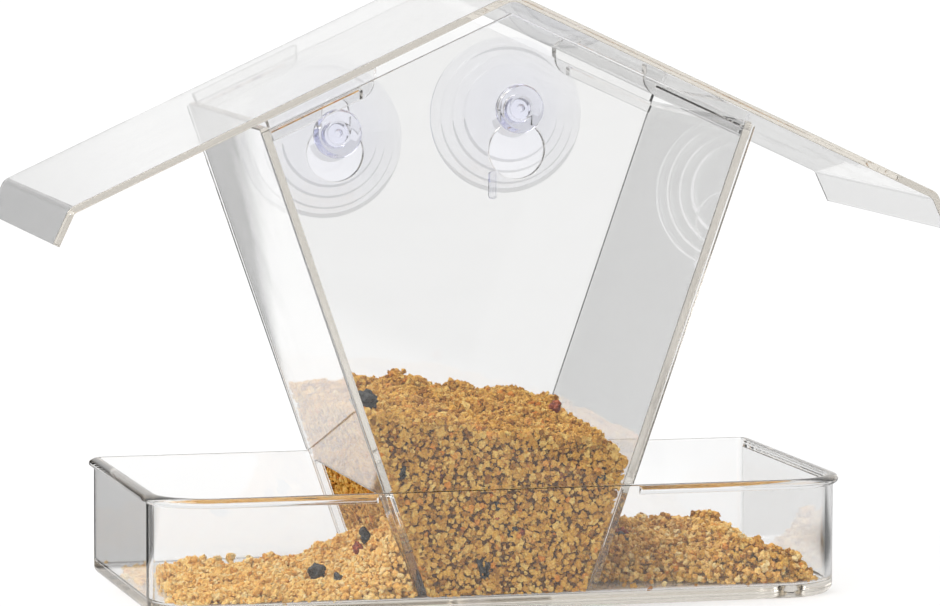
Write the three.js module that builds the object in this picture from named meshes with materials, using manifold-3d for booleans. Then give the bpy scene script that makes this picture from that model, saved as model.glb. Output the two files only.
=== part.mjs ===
// Window-mounted gravity bird feeder in clear plastic.
//
// A shallow tray carries a V-shaped feed hopper under a gabled roof. Feed runs out through a low
// opening in each sloping hopper wall into the two tray bays. The roof lifts off to fill the
// hopper, and two suction cups hang in keyhole slots of the back panel.
//
// Millimetres, +Z up, +Y towards the window, +X along the tray. The origin is the middle of the
// tray's underside.

import * as THREE from 'three';
import { mergeVertices } from 'three/addons/utils/BufferGeometryUtils.js';
import Module from 'manifold-3d';

const wasm = await Module();
wasm.setup();

// ---- driving dimensions ---------------------------------------------------------------------

const GAP = 0.3; // clearance left between bonded or resting faces

const TRAY = {
  halfWidth: 97, // outer face of the end walls
  front: -47, // outer face of the front wall
  back: 46, // outer face of the back wall
  height: 33,
  wall: 2,
  floor: 3.5,
  frontCorner: 16.5,
  backCorner: 3,
  beadProud: 1.2, // how far the rim bead stands outside the wall
  beadHeight: 2.6,
  beadGapHalf: 36.5, // the bead stops beside the front panel
};

const HOUSE = {
  footHalf: 23.2, // outer half width of the hopper, extended down to the tray's underside
  lean: 0.346, // outward travel of the side walls for each millimetre of height
  wallTop: 131,
  wallAcross: 2.4, // thickness of a side wall, measured level
  apex: 161.3, // where the two top edges of a panel meet
  topSlope: 0.455,
  panel: 2.3,
  panelFront: -47.6, // outer face of the front panel
};

const OUTLET = { top: 31, frontLeg: 8, backLeg: 4.5 };

const KEYHOLE = { x: 26.75, z: 118, radius: 8.2, slotHalf: 4, slotTop: 129.7 };

const ROOF = {
  apex: 167.1, // sharp meeting point of the two outer slopes
  foldX: 120.6, // sharp fold line between a slope and its eave lip
  foldZ: 111.4,
  lipX: 125,
  lipZ: 102,
  thickness: 2,
  ridgeRadius: 4,
  foldRadius: 2,
  front: -49,
  back: 51,
};

const TAB = { innerX: 37.5, below: 3.7, thickness: 1.6, corner: 3, rib: 2, ribProud: 1 };

const CUP = {
  rimPlane: 58, // the plane of the window glass
  rimRadius: 22.5,
  neckRadius: 3.5,
  knobRadius: 7,
  length: 18.2,
  sag: 0.17, // drop of the slack cup away from its knob, per millimetre
  leftZ: 120.9, // height of the left cup's rim centre
  rightZ: 127.25,
};

const FEED = {
  // Top of the heap against the front, from the left wall to the right wall.
  hopperTop: [[-31, 54], [-9, 55], [8, 51], [25, 48]],
  hopperLeft: 54, // height of the feed against the left wall
  hopperRight: 44,
  endGap: 5, // bare floor left beside the end wall
  left: { outlet: 18, shoulder: 8, shoulderX: 60, end: 6 },
  right: { outlet: 14, shoulder: 13, shoulderX: 72, end: 6 },
};

const CLEAR = { color: 0xe9ecee, roughness: 0.12, metalness: 0 };
const PVC = { color: 0xdcdfee, roughness: 0.3, metalness: 0 };
const CRUMB = { color: 0xc69a5c, roughness: 0.9, metalness: 0 };

// ---- solids ---------------------------------------------------------------------------------

function toManifold(geometry) {
  const bare = geometry.index ? geometry.toNonIndexed() : geometry.clone();
  bare.deleteAttribute('normal');
  bare.deleteAttribute('uv');
  const merged = mergeVertices(bare, 1e-4);
  const vertProperties = new Float32Array(merged.attributes.position.array);
  const triVerts = new Uint32Array(merged.index.array);
  return new wasm.Manifold(new wasm.Mesh({ numProp: 3, vertProperties, triVerts }));
}

function toGeometry(manifold) {
  const mesh = manifold.getMesh();
  const geometry = new THREE.BufferGeometry();
  geometry.setAttribute('position', new THREE.BufferAttribute(mesh.vertProperties, 3));
  geometry.setIndex(new THREE.BufferAttribute(mesh.triVerts, 1));
  return geometry.toNonIndexed();
}

function box(x0, x1, y0, y1, z0, z1) {
  const geometry = new THREE.BoxGeometry(x1 - x0, y1 - y0, z1 - z0);
  geometry.translate((x0 + x1) / 2, (y0 + y1) / 2, (z0 + z1) / 2);
  return toManifold(geometry);
}

// A plan outline (x, y) raised from z0 to z1.
function raised(shape, z0, z1, curveSegments = 6) {
  const geometry = new THREE.ExtrudeGeometry(shape, { depth: z1 - z0, bevelEnabled: false, curveSegments });
  geometry.translate(0, 0, z0);
  return toManifold(geometry);
}

// A front-view outline (x, z) given thickness from y0 to y1.
function slab(shape, y0, y1, curveSegments = 12) {
  const geometry = new THREE.ExtrudeGeometry(shape, { depth: y1 - y0, bevelEnabled: false, curveSegments });
  geometry.rotateX(Math.PI / 2);
  geometry.translate(0, y1, 0);
  return toManifold(geometry);
}

function polygon(points) {
  return new THREE.Shape(points.map(([x, y]) => new THREE.Vector2(x, y)));
}

// ---- tray -----------------------------------------------------------------------------------

function trayPlan(inset, frontCorner, backCorner) {
  const x = TRAY.halfWidth - inset;
  const y0 = TRAY.front + inset;
  const y1 = TRAY.back - Math.max(inset, 0);
  const shape = new THREE.Shape();
  shape.moveTo(-x + frontCorner, y0);
  shape.absarc(x - frontCorner, y0 + frontCorner, frontCorner, -Math.PI / 2, 0, false);
  shape.absarc(x - backCorner, y1 - backCorner, backCorner, 0, Math.PI / 2, false);
  shape.absarc(-x + backCorner, y1 - backCorner, backCorner, Math.PI / 2, Math.PI, false);
  shape.absarc(-x + frontCorner, y0 + frontCorner, frontCorner, Math.PI, Math.PI * 1.5, false);
  return shape;
}

function tray() {
  const { height, wall, floor, frontCorner, backCorner, beadProud, beadHeight, beadGapHalf } = TRAY;
  const inside = raised(trayPlan(wall, frontCorner - wall, backCorner - wall + 0.5), floor, height + 1);
  const shell = raised(trayPlan(0, frontCorner, backCorner), 0, height).subtract(inside);
  const beadOuter = raised(trayPlan(-beadProud, frontCorner + beadProud, backCorner), height - beadHeight, height);
  const frontGap = box(-beadGapHalf, beadGapHalf, TRAY.front - 5, TRAY.front, 0, height + 1);
  return shell.add(beadOuter.subtract(inside).subtract(frontGap));
}

// ---- hopper ---------------------------------------------------------------------------------

// Outer face of the hopper's side wall at a height.
function wallFace(z) {
  return HOUSE.footHalf + HOUSE.lean * z;
}

function panelTop(x) {
  return HOUSE.apex - HOUSE.topSlope * Math.abs(x);
}

function panelOutline() {
  const z0 = TRAY.height + GAP;
  const topX = wallFace(HOUSE.wallTop);
  return polygon([
    [-wallFace(z0), z0],
    [wallFace(z0), z0],
    [topX, panelTop(topX)],
    [0, HOUSE.apex],
    [-topX, panelTop(topX)],
  ]);
}

function frontPanel() {
  return slab(panelOutline(), HOUSE.panelFront, HOUSE.panelFront + HOUSE.panel);
}

function keyhole(x) {
  const { z, radius, slotHalf, slotTop } = KEYHOLE;
  const shoulder = Math.asin(slotHalf / radius);
  const shape = new THREE.Shape();
  shape.absarc(x, z, radius, Math.PI / 2 + shoulder, Math.PI * 2.5 - shoulder, false);
  shape.absarc(x, slotTop, slotHalf, 0, Math.PI, false);
  return slab(shape, TRAY.back - HOUSE.panel - 1, TRAY.back + 1);
}

function backPanel() {
  const sheet = slab(panelOutline(), TRAY.back - HOUSE.panel, TRAY.back);
  return sheet.subtract(keyhole(-KEYHOLE.x)).subtract(keyhole(KEYHOLE.x));
}

function sideWall(side) {
  const z0 = TRAY.floor + GAP;
  const z1 = HOUSE.wallTop;
  const y0 = TRAY.front + TRAY.wall + GAP;
  const y1 = TRAY.back - HOUSE.panel - GAP;
  const outline = [
    [wallFace(z0), z0],
    [wallFace(z1), z1],
    [wallFace(z1) - HOUSE.wallAcross, z1],
    [wallFace(z0) - HOUSE.wallAcross, z0],
  ];
  const sheet = slab(polygon(outline), y0, y1);
  const outlet = box(0, TRAY.halfWidth, y0 + OUTLET.frontLeg, y1 - OUTLET.backLeg, 0, OUTLET.top);
  return sheet.subtract(outlet).scale([side, 1, 1]);
}

// ---- roof -----------------------------------------------------------------------------------

// Outline of a sheet of even thickness that follows the corners, rounded on the inside by radii.
// The corners lie on the sheet's outer face, which is on the left of the direction of travel.
function bentSheet(corners, radii, thickness) {
  const outer = [];
  const inner = [];
  corners.forEach(([x, y], i) => {
    const point = new THREE.Vector2(x, y);
    const ahead = i < corners.length - 1 ? new THREE.Vector2(...corners[i + 1]).sub(point).normalize() : null;
    const behind = i > 0 ? point.clone().sub(new THREE.Vector2(...corners[i - 1])).normalize() : null;
    const first = behind ?? ahead;
    const last = ahead ?? behind;
    const startAngle = Math.atan2(first.x, -first.y);
    const endAngle = Math.atan2(last.x, -last.y);
    const turn = startAngle - endAngle;
    const radius = radii[i];
    const outerRadius = radius + thickness;
    const steps = turn > 0.01 ? 5 : 0;
    const setBack = outerRadius / Math.cos(turn / 2);
    const middle = (startAngle + endAngle) / 2;
    const centre = steps
      ? new THREE.Vector2(x - setBack * Math.cos(middle), y - setBack * Math.sin(middle))
      : new THREE.Vector2(x - outerRadius * Math.cos(startAngle), y - outerRadius * Math.sin(startAngle));
    for (let k = 0; k <= steps; k += 1) {
      const angle = steps ? startAngle - (turn * k) / steps : startAngle;
      const out = new THREE.Vector2(Math.cos(angle), Math.sin(angle));
      outer.push(centre.clone().addScaledVector(out, outerRadius));
      inner.push(centre.clone().addScaledVector(out, radius));
    }
  });
  return new THREE.Shape([...outer, ...inner.reverse()].reverse());
}

function roof() {
  const { apex, foldX, foldZ, lipX, lipZ, thickness, ridgeRadius, foldRadius, front, back } = ROOF;
  const corners = [[-lipX, lipZ], [-foldX, foldZ], [0, apex], [foldX, foldZ], [lipX, lipZ]];
  const radii = [0, foldRadius, ridgeRadius, foldRadius, 0];
  return slab(bentSheet(corners, radii, thickness), front, back);
}

// Underside of the straight part of a roof slope.
function roofUnderside(x) {
  const slope = (ROOF.apex - ROOF.foldZ) / ROOF.foldX;
  return ROOF.apex - slope * Math.abs(x) - ROOF.thickness * Math.hypot(1, slope);
}

// A tab hangs under the roof just inside a panel. Its ledge sits on the panel's top edge.
function roofTab(side, atFront) {
  const { innerX, below, thickness, corner, rib, ribProud } = TAB;
  const outerX = (z) => wallFace(z) - HOUSE.wallAcross - 0.6;
  const endLow = outerX(panelTop(65) - below);
  const endHigh = outerX(roofUnderside(66) - GAP);
  const low = (x) => panelTop(x) - below;
  const plate = new THREE.Shape();
  plate.moveTo(innerX + corner, low(innerX + corner));
  plate.lineTo(endLow, low(endLow));
  plate.lineTo(endHigh, roofUnderside(endHigh) - GAP);
  plate.lineTo(innerX, roofUnderside(innerX) - GAP);
  plate.lineTo(innerX, low(innerX) + corner);
  plate.quadraticCurveTo(innerX, low(innerX), innerX + corner, low(innerX + corner));
  const ledge = polygon([
    [innerX, panelTop(innerX) + GAP],
    [endHigh, panelTop(endHigh) + GAP],
    [endHigh, roofUnderside(endHigh) - GAP],
    [innerX, roofUnderside(innerX) - GAP],
  ]);
  const ribStart = innerX + corner;
  const ribShape = polygon([
    [ribStart, low(ribStart)],
    [endLow, low(endLow)],
    [endLow, low(endLow) + rib],
    [ribStart, low(ribStart) + rib],
  ]);
  const panelInner = atFront ? HOUSE.panelFront + HOUSE.panel : TRAY.back - HOUSE.panel;
  const inward = atFront ? 1 : -1;
  const span = (from, to) => [from, to].map((d) => panelInner + inward * d).sort((a, b) => a - b);
  const solid = slab(plate, ...span(GAP, GAP + thickness), 5)
    .add(slab(ledge, ...span(-HOUSE.panel, GAP + thickness / 2)))
    .add(slab(ribShape, ...span(GAP + thickness / 2, GAP + thickness + ribProud)));
  return solid.scale([side, 1, 1]);
}

// ---- suction cups ---------------------------------------------------------------------------

// Half section of a cup: radius against distance from the glass.
function cupProfile() {
  const { rimRadius, neckRadius, knobRadius, length } = CUP;
  const hollow = new THREE.QuadraticBezierCurve(
    new THREE.Vector2(0, 4.2),
    new THREE.Vector2(rimRadius * 0.6, 4),
    new THREE.Vector2(rimRadius - 1.8, 0),
  ).getPoints(5);
  const back = [
    [rimRadius, 0],
    [rimRadius, 1],
    [19.8, 1.9],
    [19.8, 2.8],
    [16.8, 3.8],
    [16.8, 4.8],
    [13.9, 5.7],
    [13.9, 6.9],
    [7, 8.6],
    [neckRadius + 0.6, 10],
    [neckRadius, 11.4],
    [neckRadius, 14.7],
    [knobRadius - 0.8, 14.9],
    [knobRadius, 15.7],
    [knobRadius, 16.9],
    [knobRadius - 1, length - 0.2],
    [3.4, length],
    [3, length - 0.5],
    [1, length - 0.5],
    [1, 16],
    [0, 16],
  ].map(([r, s]) => new THREE.Vector2(r, s));
  return [...hollow, ...back];
}

function suctionCup(side, rimZ) {
  const lathe = new THREE.LatheGeometry(cupProfile(), 36);
  // The lathe turns about +Y from the glass outwards; face it to -Y, towards the feeder.
  lathe.rotateX(Math.PI);
  const tongue = new THREE.Shape();
  tongue.moveTo(-2.4, -19);
  tongue.lineTo(-2.2, -24.6);
  tongue.quadraticCurveTo(0, -25.4, 2.2, -24.6);
  tongue.lineTo(2.4, -19);
  const pull = slab(tongue, -1.6, -0.5, 4).rotate([0, -7, 0]);
  const cup = toManifold(lathe).add(pull);
  const sagged = cup.warp((v) => {
    v[2] -= CUP.sag * v[1];
  });
  return sagged.translate([side * KEYHOLE.x, CUP.rimPlane, rimZ]);
}

// ---- feed -----------------------------------------------------------------------------------

function hopperInner(z) {
  return wallFace(z) - HOUSE.wallAcross - GAP;
}

function hopperFeed() {
  const z0 = TRAY.floor + GAP;
  const outline = polygon([
    [-hopperInner(z0), z0],
    [hopperInner(z0), z0],
    [hopperInner(FEED.hopperRight), FEED.hopperRight],
    ...FEED.hopperTop.slice().reverse(),
    [-hopperInner(FEED.hopperLeft), FEED.hopperLeft],
  ]);
  return slab(outline, TRAY.front + TRAY.wall + GAP, TRAY.back - HOUSE.panel - GAP);
}

// A pile lies against its outlet and thins out towards the end wall.
function trayFeed(side, pile) {
  const z0 = TRAY.floor + GAP;
  const endX = TRAY.halfWidth - TRAY.wall - FEED.endGap;
  const startX = wallFace(z0) + GAP;
  const outline = polygon([
    [startX, z0],
    [endX, z0],
    [endX - 2, pile.end],
    [pile.shoulderX, pile.shoulder],
    [wallFace(pile.outlet) + 3, pile.outlet],
    [wallFace(pile.outlet) + GAP, pile.outlet],
  ]);
  const inset = TRAY.wall + 1;
  const bay = raised(trayPlan(inset, TRAY.frontCorner - inset, 1), 0, TRAY.height);
  return slab(outline, TRAY.front, TRAY.back - TRAY.wall - 3).intersect(bay).scale([side, 1, 1]);
}

// ---- assembly -------------------------------------------------------------------------------

const feeder = new THREE.Group();

function addPiece(name, manifold, finish) {
  const mesh = new THREE.Mesh(toGeometry(manifold), new THREE.MeshStandardMaterial(finish));
  mesh.name = name;
  feeder.add(mesh);
}

addPiece('tray', tray(), CLEAR);
addPiece('front_panel', frontPanel(), CLEAR);
addPiece('back_panel', backPanel(), CLEAR);
addPiece('roof', roof(), CLEAR);
for (const [word, side, rimZ] of [['left', -1, CUP.leftZ], ['right', 1, CUP.rightZ]]) {
  addPiece(`${word}_hopper_wall`, sideWall(side), CLEAR);
  addPiece(`roof_tab_front_${word}`, roofTab(side, true), CLEAR);
  addPiece(`roof_tab_back_${word}`, roofTab(side, false), CLEAR);
  addPiece(`suction_cup_${word}`, suctionCup(side, rimZ), PVC);
  addPiece(`feed_${word}_tray`, trayFeed(side, FEED[word]), CRUMB);
}
addPiece('feed_in_hopper', hopperFeed(), CRUMB);

export default feeder;
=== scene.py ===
import math

import bmesh
import bpy
import numpy as np
from mathutils import Matrix, Vector, noise
from mathutils.geometry import tessellate_polygon


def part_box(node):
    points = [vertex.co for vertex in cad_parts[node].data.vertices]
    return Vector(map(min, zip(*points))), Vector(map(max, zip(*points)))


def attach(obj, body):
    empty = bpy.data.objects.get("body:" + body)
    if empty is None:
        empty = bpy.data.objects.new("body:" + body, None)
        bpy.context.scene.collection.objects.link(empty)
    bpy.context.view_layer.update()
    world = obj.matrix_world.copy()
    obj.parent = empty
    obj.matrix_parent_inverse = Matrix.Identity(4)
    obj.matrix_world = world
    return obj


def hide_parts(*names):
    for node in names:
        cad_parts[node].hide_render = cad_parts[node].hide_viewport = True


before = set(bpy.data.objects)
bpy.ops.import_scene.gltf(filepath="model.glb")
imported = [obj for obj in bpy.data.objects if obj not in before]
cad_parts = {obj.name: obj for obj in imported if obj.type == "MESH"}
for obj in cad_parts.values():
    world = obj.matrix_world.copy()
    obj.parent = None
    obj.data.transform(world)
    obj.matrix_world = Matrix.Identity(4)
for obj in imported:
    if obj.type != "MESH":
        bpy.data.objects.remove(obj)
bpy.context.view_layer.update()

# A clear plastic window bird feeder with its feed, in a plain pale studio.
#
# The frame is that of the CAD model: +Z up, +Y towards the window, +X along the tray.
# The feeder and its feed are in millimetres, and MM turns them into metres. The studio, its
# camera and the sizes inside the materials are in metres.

MM = 0.001
RNG = np.random.default_rng(20)

# ---- sizes, millimetres ---------------------------------------------------------------------

GAP = 0.3  # between bonded faces
EDGE = 0.3  # rounding of a cut or moulded edge

TRAY_LOW, TRAY_HIGH = [np.array(corner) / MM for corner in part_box("tray")]
TRAY_WALL = 2.0
TRAY_FLOOR = 3.5
TRAY_HEIGHT = TRAY_HIGH[2]
BEAD_PROUD = 1.2  # outwards from the wall
END_BEAD_PROUD = 1.5  # the same at the tray's two ends
BEAD_HEIGHT = 2.6
BEAD_GAP_HALF = 36.5  # the bead is cut away in front of the hopper
FRONT_CORNER = 16.5
BACK_CORNER = 3.0
LEAST_CORNER = 0.5
FLOOR_FILLET = 1.2
TRAY_FOOT_EDGE = 2.4  # rounding of the outer bottom edge
BEAD_OVER_WALL = 0.8  # how far the bead's round top reaches in over the wall
RIM_EDGE = 0.5  # rounding of the wall's inner top edge

FOOT_HALF = 23.2  # outer half width of the hopper, extended down to the tray's underside
LEAN = 0.346  # outward travel of the side walls for each millimetre of height
WALL_ACROSS = 2.4
WALL_TOP = 131.0
APEX = 161.3
TOP_SLOPE = 0.455
PANEL = 2.3
PANEL_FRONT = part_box("front_panel")[0][1] / MM
PANEL_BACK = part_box("back_panel")[1][1] / MM
OUTLET_TOP = 31.0
OUTLET_CORNER = 1.5
FRONT_LEG = 8.0
BACK_LEG = 4.5

KEYHOLE_X, KEYHOLE_Z, KEYHOLE_RADIUS = 26.75, 118.0, 8.2
SLOT_HALF, SLOT_TOP = 4.0, 129.7

ROOF_APEX = 167.07
ROOF_FOLD = (120.6, 111.4)
ROOF_LIP = (125.0, 102.0)
ROOF_SHEET = 2.0
RIDGE_RADIUS = 4.0
FOLD_RADIUS = 2.0
ROOF_Y = [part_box("roof")[0][1] / MM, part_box("roof")[1][1] / MM]

TAB_INNER_X = 37.5
TAB_BELOW = {"front": 3.9, "back": 3.2}
TAB_SHEET = 1.6
TAB_CORNER = 3.0
TAB_RIB = 2.2
TAB_RIB_PROUD = 1.6
TAB_RIB_RISE = 0.6  # length over which the rib grows out
TAB_STRAIGHT_END, TAB_WALL_END = 60.5, 63.0  # the last stretch slants to follow the side wall
TAB_CLEARANCE = 0.6  # to the side wall

CUP_RIM_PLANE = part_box("suction_cup_left")[1][1] / MM
CUP_SAG = 0.17  # the neck climbs by this much for each millimetre away from the glass
CUP_RIM_Z = {"left": 120.9, "right": 127.25}
CUP_SEGMENTS = 96
FIN_X = (21.1, 23.3)
FIN_Z = (103.3, 111.4)
FIN_THICKNESS = 2.6
FIN_FROM_GLASS = 1.9
FIN_CORNER = 0.9
FIN_EDGE = 0.5


def wall_face(z):
    """Outer face of the hopper's side wall at a height."""
    return FOOT_HALF + LEAN * z


def panel_top(x):
    return APEX - TOP_SLOPE * abs(x)


def roof_underside(x):
    slope = (ROOF_APEX - ROOF_FOLD[1]) / ROOF_FOLD[0]
    return ROOF_APEX - slope * abs(x) - ROOF_SHEET * math.hypot(1, slope)


# ---- mesh helpers ---------------------------------------------------------------------------


def mesh_object(name, verts, faces):
    """A closed mesh object from millimetre vertices, its faces turned outwards."""
    mesh = bpy.data.meshes.new(name)
    mesh.from_pydata([tuple(float(c) * MM for c in v) for v in verts], [], faces)
    mesh.validate()
    shell = bmesh.new()
    shell.from_mesh(mesh)
    if shell.calc_volume(signed=True) < 0:
        mesh.flip_normals()
    shell.free()
    obj = bpy.data.objects.new(name, mesh)
    bpy.context.collection.objects.link(obj)
    return obj


def shade(obj, flat_axis=None, angle=35):
    """Smooth shading with creases; big faces square to flat_axis stay flat."""
    mesh = obj.data
    mesh.shade_smooth()
    mesh.set_sharp_from_angle(angle=math.radians(angle))
    if flat_axis is not None:
        for face in mesh.polygons:
            if abs(face.normal.dot(flat_axis)) > 0.9999:
                face.use_smooth = False
    weighted = obj.modifiers.new("flat faces stay flat", "WEIGHTED_NORMAL")
    weighted.keep_sharp = True
    weighted.weight = 90


def arc(centre, radius, start, end, steps):
    """Points on an arc, angles in degrees."""
    angles = np.radians(np.linspace(start, end, steps + 1))
    return [(centre[0] + radius * math.cos(a), centre[1] + radius * math.sin(a)) for a in angles]


def signed_area(loop):
    x, y = np.array(loop).T
    return 0.5 * float(np.sum(x * np.roll(y, -1) - np.roll(x, -1) * y))


def inset(loop, distance):
    """The loop moved to its left by distance, with mitred corners."""
    points = np.array(loop, float)
    along = np.roll(points, -1, axis=0) - points
    along /= np.linalg.norm(along, axis=1)[:, None]
    left = np.column_stack([-along[:, 1], along[:, 0]])
    before = np.roll(left, 1, axis=0)
    mitre = (left + before) / (1 + np.sum(left * before, axis=1))[:, None]
    return points + mitre * distance


def sheet(name, loops, thickness, place, edge=EDGE, steps=3):
    """A sheet cut to an outline with holes, its edges rounded.

    The loops lie in the sheet's own XY plane and it is thickened from 0 to thickness along its
    own Z; place is the matrix that puts it in the feeder, in millimetres.
    """
    loops = [list(loop) for loop in loops]
    for k, loop in enumerate(loops):
        if (signed_area(loop) > 0) != (k == 0):
            loop.reverse()
    levels = [
        (edge * (1 - math.sin(t)), edge * (1 - math.cos(t)))
        for t in np.linspace(0, math.pi / 2, steps + 1)
    ]
    stack = [(off, z) for off, z in levels] + [(off, thickness - z) for off, z in reversed(levels)]
    verts, faces = [], []
    starts = []
    for off, z in stack:
        starts.append(len(verts))
        for loop in loops:
            verts += [(x, y, z) for x, y in inset(loop, off)]
    for low, high in zip(starts, starts[1:]):
        base = 0
        for loop in loops:
            n = len(loop)
            for i in range(n):
                a, b = base + i, base + (i + 1) % n
                faces.append((low + a, low + b, high + b, high + a))
            base += n
    flat = [[Vector((x, y, 0)) for x, y in loop] for loop in loops]
    for a, b, c in tessellate_polygon(flat):
        points = [Vector(verts[i][:2]) for i in (a, b, c)]
        if (points[1] - points[0]).cross(points[2] - points[0]) < 0:
            b, c = c, b
        faces.append((c, b, a))
        faces.append((starts[-1] + a, starts[-1] + b, starts[-1] + c))
    obj = mesh_object(name, [place @ Vector(v) for v in verts], faces)
    normal = (place.to_3x3() @ Vector((0, 0, 1))).normalized()
    shade(obj, normal)
    return obj


def upright(y_back):
    """Places a front-view outline (x, z) so that its thickness runs from y_back forwards."""
    return Matrix(((1, 0, 0, 0), (0, 0, -1, y_back), (0, 1, 0, 0), (0, 0, 0, 1)))


def loft(name, rings, flat_axis=None, angle=35):
    """A closed body through rings of equal length, capped at both ends."""
    n = len(rings[0])
    verts = [v for ring in rings for v in ring]
    faces = []
    for k in range(len(rings) - 1):
        for i in range(n):
            a, b = k * n + i, k * n + (i + 1) % n
            faces.append((a, b, b + n, a + n))
    faces.append(tuple(range(n - 1, -1, -1)))
    faces.append(tuple(range((len(rings) - 1) * n, len(rings) * n)))
    obj = mesh_object(name, verts, faces)
    shade(obj, flat_axis, angle)
    return obj


def soften(obj, width, segments=2, angle=40):
    bevel = obj.modifiers.new("edge rounding", "BEVEL")
    bevel.width = width * MM
    bevel.segments = segments
    bevel.limit_method = "ANGLE"
    bevel.angle_limit = math.radians(angle)
    # The bevel comes before the normals are worked out.
    obj.modifiers.move(len(obj.modifiers) - 1, 0)
    return obj


# ---- materials ------------------------------------------------------------------------------


class Nodes:
    """The node tree of a new material or world, with short calls for the nodes used here."""

    def __init__(self, name, kind="Material"):
        library = bpy.data.worlds if kind == "World" else bpy.data.materials
        self.owner = library.new(name)
        self.owner.use_nodes = True
        self.tree = self.owner.node_tree
        self.tree.nodes.clear()
        self.output = self.add(f"ShaderNodeOutput{kind}")

    def add(self, kind, **values):
        node = self.tree.nodes.new(kind)
        for key, value in values.items():
            if hasattr(node, key):
                setattr(node, key, value)
            else:
                node.inputs[key.replace("_", " ")].default_value = value
        return node

    def link(self, source, target):
        self.tree.links.new(source, target)

    def coords(self):
        return self.add("ShaderNodeTexCoord").outputs["Object"]

    def calc(self, operation, *inputs):
        """Arithmetic on node outputs and plain numbers."""
        node = self.add("ShaderNodeMath", operation=operation)
        for socket, value in zip(node.inputs, inputs):
            if isinstance(value, (int, float)):
                socket.default_value = value
            else:
                self.link(value, socket)
        return node.outputs[0]

    def blend(self, factor, first, second):
        """The first colour turned towards the second. A plain number is a grey."""
        node = self.add("ShaderNodeMix", data_type="RGBA")
        self.link(factor, node.inputs["Factor"])
        for key, color in (("A", first), ("B", second)):
            if isinstance(color, (int, float)):
                node.inputs[key].default_value = (color, color, color, 1)
            else:
                self.link(color, node.inputs[key])
        return node.outputs["Result"]

    def noise(self, vector, scale, detail=3.0, roughness=0.5):
        node = self.add("ShaderNodeTexNoise", Scale=scale, Detail=detail, Roughness=roughness)
        self.link(vector, node.inputs["Vector"])
        return node.outputs["Fac"]

    def ramp(self, fac, stops):
        node = self.add("ShaderNodeValToRGB")
        elements = node.color_ramp.elements
        while len(elements) < len(stops):
            elements.new(0.5)
        for element, (position, color) in zip(elements, stops):
            element.position = position
            element.color = (*color, 1)
        self.link(fac, node.inputs["Fac"])
        return node.outputs["Color"]

    def remap(self, fac, low, high, to_low, to_high):
        node = self.add("ShaderNodeMapRange")
        ends = {"From Min": low, "From Max": high, "To Min": to_low, "To Max": to_high}
        for key, value in ends.items():
            node.inputs[key].default_value = value
        self.link(fac, node.inputs["Value"])
        return node.outputs["Result"]

    def bump(self, height, strength, distance):
        node = self.add("ShaderNodeBump", Strength=strength, Distance=distance)
        self.link(height, node.inputs["Height"])
        return node.outputs["Normal"]


LIGHT_PASSED = 0.99  # share of lamp light let by at each face


def clear_plastic(name, tint, edge_tint, density, ior, roughness, ripple):
    """Clear moulded plastic: faint ripples, fine rub marks, and a tint that shows edge on.

    Lamps and bounced light pass straight through it, so that what is inside is lit.
    """
    n = Nodes(name)
    where = n.coords()
    rubs = n.noise(where, 900, detail=6, roughness=0.7)
    patches = n.noise(where, 60, detail=2)
    marks = n.calc("MULTIPLY", rubs, patches)
    surface = n.add("ShaderNodeBsdfPrincipled", IOR=ior)
    surface.inputs["Base Color"].default_value = (*tint, 1)
    surface.inputs["Transmission Weight"].default_value = 1
    worn = n.remap(marks, 0.15, 0.4, roughness * 0.5, roughness * 1.8)
    n.link(worn, surface.inputs["Roughness"])
    n.link(n.bump(n.noise(where, 45, detail=1), ripple, 0.0004), surface.inputs["Normal"])
    passing = n.add("ShaderNodeBsdfTransparent")
    passing.inputs["Color"].default_value = (LIGHT_PASSED, LIGHT_PASSED, LIGHT_PASSED, 1)
    path = n.add("ShaderNodeLightPath")
    either = n.calc("MAXIMUM", path.outputs["Is Shadow Ray"], path.outputs["Is Diffuse Ray"])
    mix = n.add("ShaderNodeMixShader")
    n.link(either, mix.inputs["Fac"])
    n.link(surface.outputs[0], mix.inputs[1])
    n.link(passing.outputs[0], mix.inputs[2])
    n.link(mix.outputs[0], n.output.inputs["Surface"])
    body = n.add("ShaderNodeVolumeAbsorption", Density=density)
    body.inputs["Color"].default_value = (*edge_tint, 1)
    n.link(body.outputs[0], n.output.inputs["Volume"])
    return n.owner


def crumb_material(name, stops, grain, shade=0.75):
    """Dry crumb: a colour for each crumb, its pores darkened as flecks and painted shade."""
    n = Nodes(name)
    where = n.coords()
    island = n.add("ShaderNodeNewGeometry").outputs["Random Per Island"]
    base = n.ramp(island, stops)
    specks_and_pore_shade = n.noise(where, grain, detail=5, roughness=0.65)
    # The pores, where the noise is low and the bump sinks, are darkened: painted shade, with the feed's
    # own dark flecks.
    dark = n.add("ShaderNodeMix", data_type="RGBA", blend_type="MULTIPLY")
    n.link(n.remap(specks_and_pore_shade, 0.35, 0.7, shade, 0.0), dark.inputs["Factor"])
    n.link(base, dark.inputs["A"])
    dark.inputs["B"].default_value = (0.6, 0.4, 0.2, 1)
    surface = n.add("ShaderNodeBsdfPrincipled")
    surface.inputs["Specular IOR Level"].default_value = 0.15
    surface.inputs["Subsurface Weight"].default_value = 0.12
    surface.inputs["Subsurface Radius"].default_value = (0.0012, 0.0007, 0.0003)
    n.link(dark.outputs["Result"], surface.inputs["Base Color"])
    n.link(n.remap(specks_and_pore_shade, 0.3, 0.7, 0.65, 0.95), surface.inputs["Roughness"])
    n.link(n.bump(specks_and_pore_shade, 0.9, 0.0009), surface.inputs["Normal"])
    n.link(surface.outputs[0], n.output.inputs["Surface"])
    return n.owner


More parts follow.
